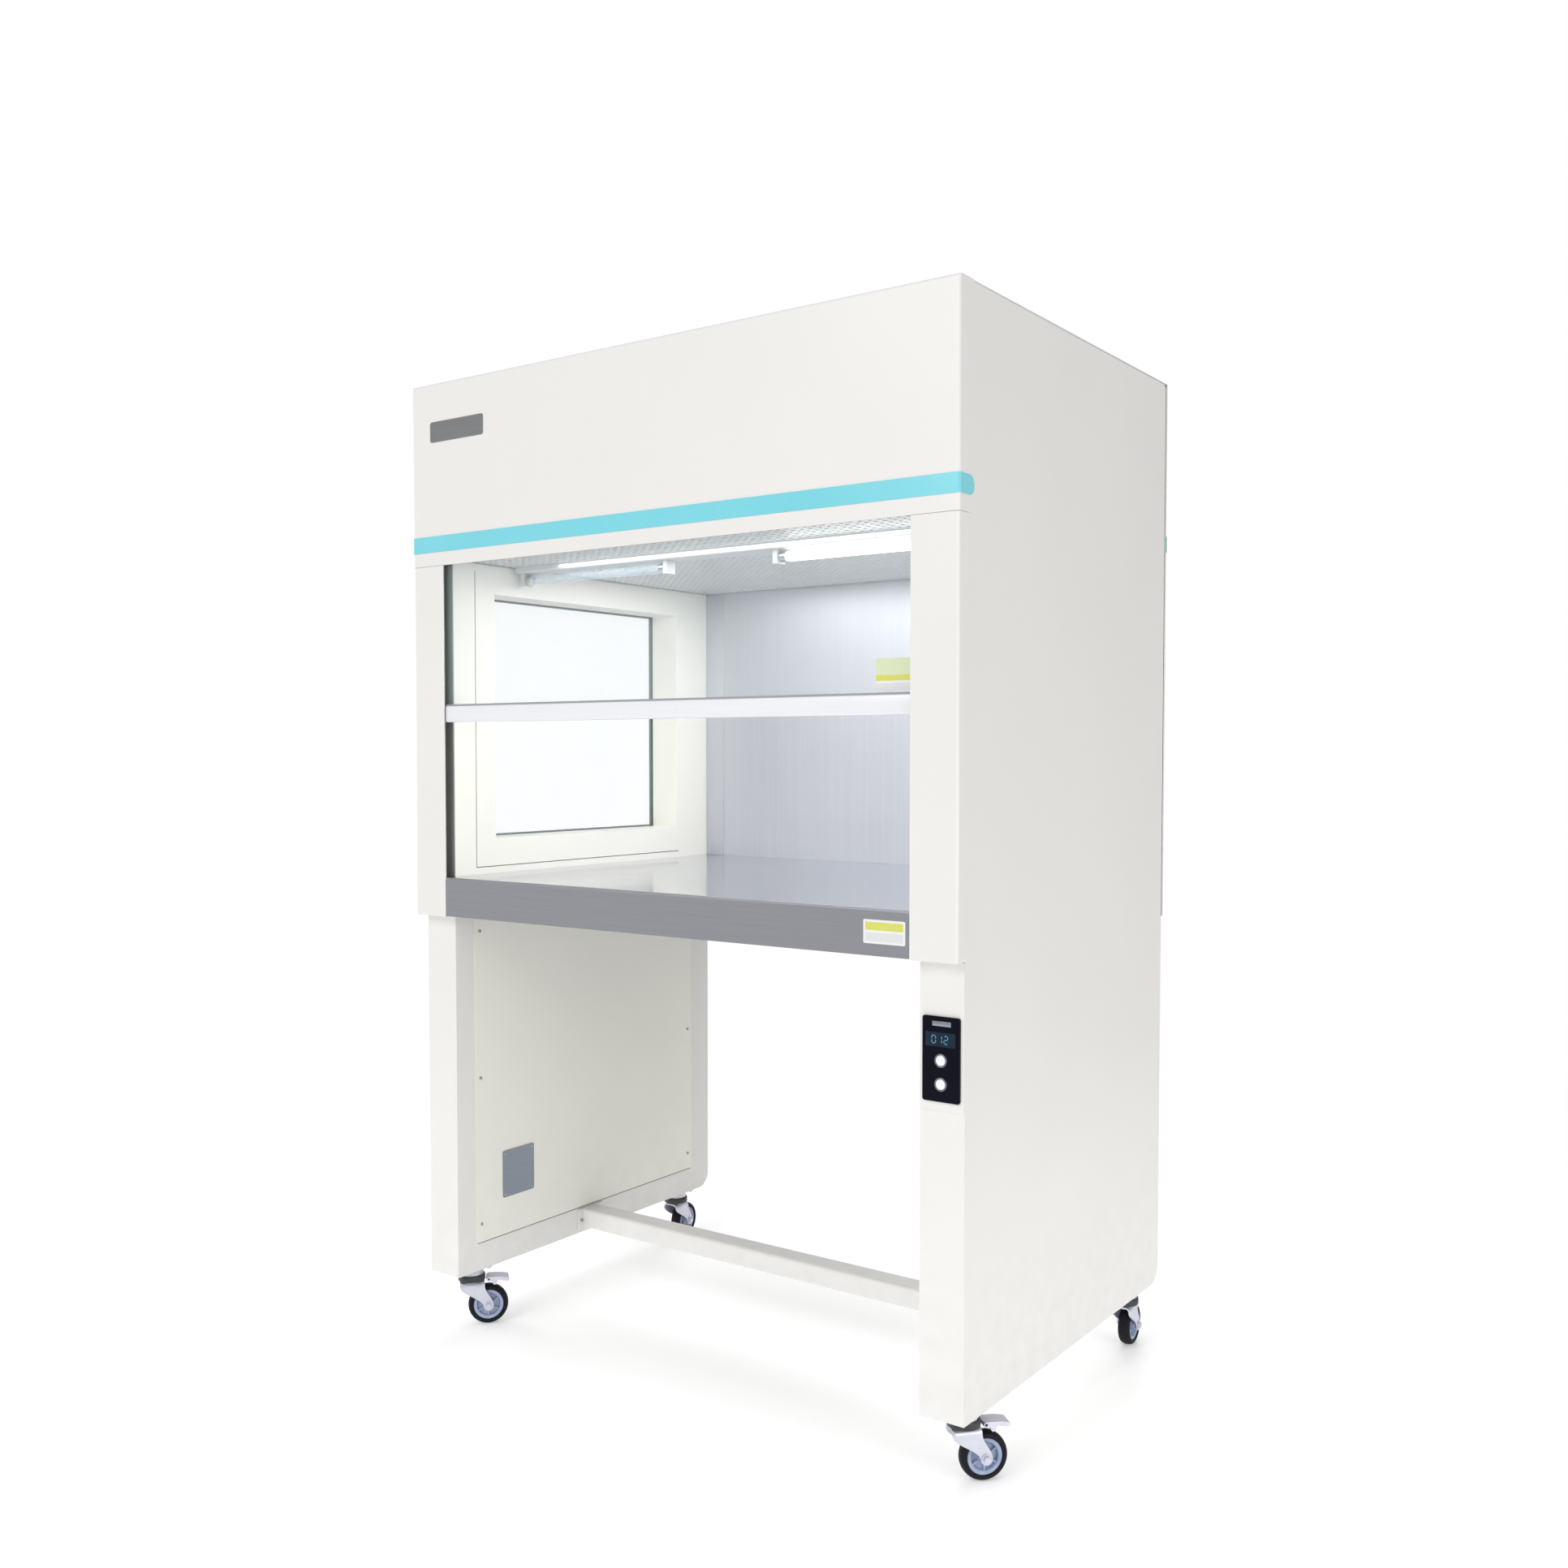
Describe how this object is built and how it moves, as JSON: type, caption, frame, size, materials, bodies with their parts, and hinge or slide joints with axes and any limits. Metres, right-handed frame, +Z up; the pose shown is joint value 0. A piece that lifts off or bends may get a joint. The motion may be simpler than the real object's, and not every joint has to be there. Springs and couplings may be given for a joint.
{
  "type": "laminar flow clean bench",
  "caption": "Free-standing clean-air work cabinet with a sliding glass sash, side window, stainless work surface, blower and filter header, and box legs on swivel casters.",
  "frame": {"origin": "on the floor under the middle of the cabinet", "axes": "+Z up, +X to the right seen from the front, -Y towards the user (the sash side)"},
  "size_m": [1.0156, 0.69, 1.542],
  "materials": {
    "painted_steel": "satin powder coat, warm white",
    "cream_liner": "satin powder coat, cream",
    "stainless": "brushed stainless sheet",
    "zinc_steel": "zinc plated",
    "aluminium": "white anodised extrusion",
    "cyan_trim": "smooth cyan strip",
    "clear_glass": "toughened float glass",
    "black_panel": "gloss black overlay",
    "display": "dark liquid crystal window",
    "rubber": "black rubber",
    "caster_tyre": "black tread on a grey hub",
    "white_plastic": "satin white",
    "filter_media": "pleated glass-fibre media in a frame",
    "prefilter_media": "non-woven pad",
    "dark_plastic": "dark grey",
    "circuit_board": "green board",
    "plate_grey": "blank grey plate",
    "lamp_glass": "opal lamp tube",
    "uv_glass": "clear quartz tube"
  },
  "bodies": {
    "cabinet": {"left_side_shell": "painted_steel", "right_side_shell": "painted_steel", "front_header_cover": "painted_steel", "rear_header_cover": "painted_steel", "rear_panel": "painted_steel", "left_post_cover": "painted_steel", "right_post_cover": "painted_steel", "top_panel": "painted_steel", "crossbar": "painted_steel", "control_cover": "painted_steel", "prefilter_grille": "painted_steel", "left_leg_cover": "cream_liner", "right_leg_cover": "cream_liner", "left_inner_wall": "cream_liner", "right_inner_wall": "cream_liner", "worktop": "stainless", "back_wall": "stainless", "left_foot_channel": "zinc_steel", "right_foot_channel": "zinc_steel", "worktop_frame": "zinc_steel", "plenum_box": "zinc_steel", "motor_bracket": "zinc_steel", "inlet_ring": "zinc_steel", "caster_fl_mount": "zinc_steel", "caster_fr_mount": "zinc_steel", "caster_rl_mount": "zinc_steel", "caster_rr_mount": "zinc_steel", "front_stripe": "cyan_trim", "rear_stripe": "cyan_trim", "window_glass": "clear_glass", "control_panel": "black_panel", "display_window": "display", "window_gasket": "rubber", "lamp_tray": "white_plastic", "diffuser_plate": "white_plastic", "hepa_filter": "filter_media", "prefilter": "prefilter_media", "left_sash_track": "dark_plastic", "right_sash_track": "dark_plastic", "blower_motor": "dark_plastic", "mains_inlet": "dark_plastic", "control_board": "circuit_board", "rating_plate": "plate_grey", "lamp_tube": "lamp_glass", "uv_tube": "uv_glass"},
    "sash": {"sash_rail": "aluminium", "sash_glass": "clear_glass"},
    "impeller": {"blower_impeller": "dark_plastic"},
    "fan_key": {"fan_button": "white_plastic"},
    "lamp_key": {"lamp_button": "white_plastic"},
    "fl_swivel": {"caster_fl_fork": "zinc_steel"},
    "fl_wheel": {"caster_fl_wheel": "caster_tyre"},
    "fl_pedal": {"caster_fl_pedal": "zinc_steel"},
    "fr_swivel": {"caster_fr_fork": "zinc_steel"},
    "fr_wheel": {"caster_fr_wheel": "caster_tyre"},
    "fr_pedal": {"caster_fr_pedal": "zinc_steel"},
    "rl_swivel": {"caster_rl_fork": "zinc_steel"},
    "rl_wheel": {"caster_rl_wheel": "caster_tyre"},
    "rr_swivel": {"caster_rr_fork": "zinc_steel"},
    "rr_wheel": {"caster_rr_wheel": "caster_tyre"}
  },
  "joints": [
    {"name": "sash_slide", "type": "slide", "parent": "cabinet", "child": "sash", "axis": [0, 0, 1], "range_m": [-0.247, 0.012]},
    {"name": "fan_spin", "type": "hinge", "parent": "cabinet", "child": "impeller", "pos_m": [0, 0.0075, 1.41], "axis": [0, 0, 1], "continuous": true},
    {"name": "fan_key_press", "type": "slide", "parent": "cabinet", "child": "fan_key", "axis": [0, 1, 0], "range_m": [0, 0.0015], "stiffness_N_per_m": 600, "springref_m": -0.0008},
    {"name": "lamp_key_press", "type": "slide", "parent": "cabinet", "child": "lamp_key", "axis": [0, 1, 0], "range_m": [0, 0.0015], "stiffness_N_per_m": 600, "springref_m": -0.0008},
    {"name": "fl_swivel_turn", "type": "hinge", "parent": "cabinet", "child": "fl_swivel", "pos_m": [-0.466, -0.262, 0.08], "axis": [0, 0, 1], "continuous": true},
    {"name": "fl_wheel_roll", "type": "hinge", "parent": "fl_swivel", "child": "fl_wheel", "pos_m": [-0.44829, -0.24162, 0.033], "axis": [0.7547, -0.6561, 0], "continuous": true},
    {"name": "fl_pedal_press", "type": "hinge", "parent": "fl_swivel", "child": "fl_pedal", "pos_m": [-0.44796, -0.24124, 0.0765], "axis": [-0.7547, 0.6561, 0], "range_deg": [0, 10]},
    {"name": "fr_swivel_turn", "type": "hinge", "parent": "cabinet", "child": "fr_swivel", "pos_m": [0.466, -0.262, 0.08], "axis": [0, 0, 1], "continuous": true},
    {"name": "fr_wheel_roll", "type": "hinge", "parent": "fr_swivel", "child": "fr_wheel", "pos_m": [0.48371, -0.24162, 0.033], "axis": [0.7547, -0.6561, 0], "continuous": true},
    {"name": "fr_pedal_press", "type": "hinge", "parent": "fr_swivel", "child": "fr_pedal", "pos_m": [0.48404, -0.24124, 0.0765], "axis": [-0.7547, 0.6561, 0], "range_deg": [0, 10]},
    {"name": "rl_swivel_turn", "type": "hinge", "parent": "cabinet", "child": "rl_swivel", "pos_m": [-0.466, 0.272, 0.08], "axis": [0, 0, 1], "continuous": true},
    {"name": "rl_wheel_roll", "type": "hinge", "parent": "rl_swivel", "child": "rl_wheel", "pos_m": [-0.46835, 0.2989, 0.033], "axis": [0.9962, 0.0872, 0], "continuous": true},
    {"name": "rr_swivel_turn", "type": "hinge", "parent": "cabinet", "child": "rr_swivel", "pos_m": [0.466, 0.272, 0.08], "axis": [0, 0, 1], "continuous": true},
    {"name": "rr_wheel_roll", "type": "hinge", "parent": "rr_swivel", "child": "rr_wheel", "pos_m": [0.46365, 0.2989, 0.033], "axis": [0.9962, 0.0872, 0], "continuous": true}
  ]
}
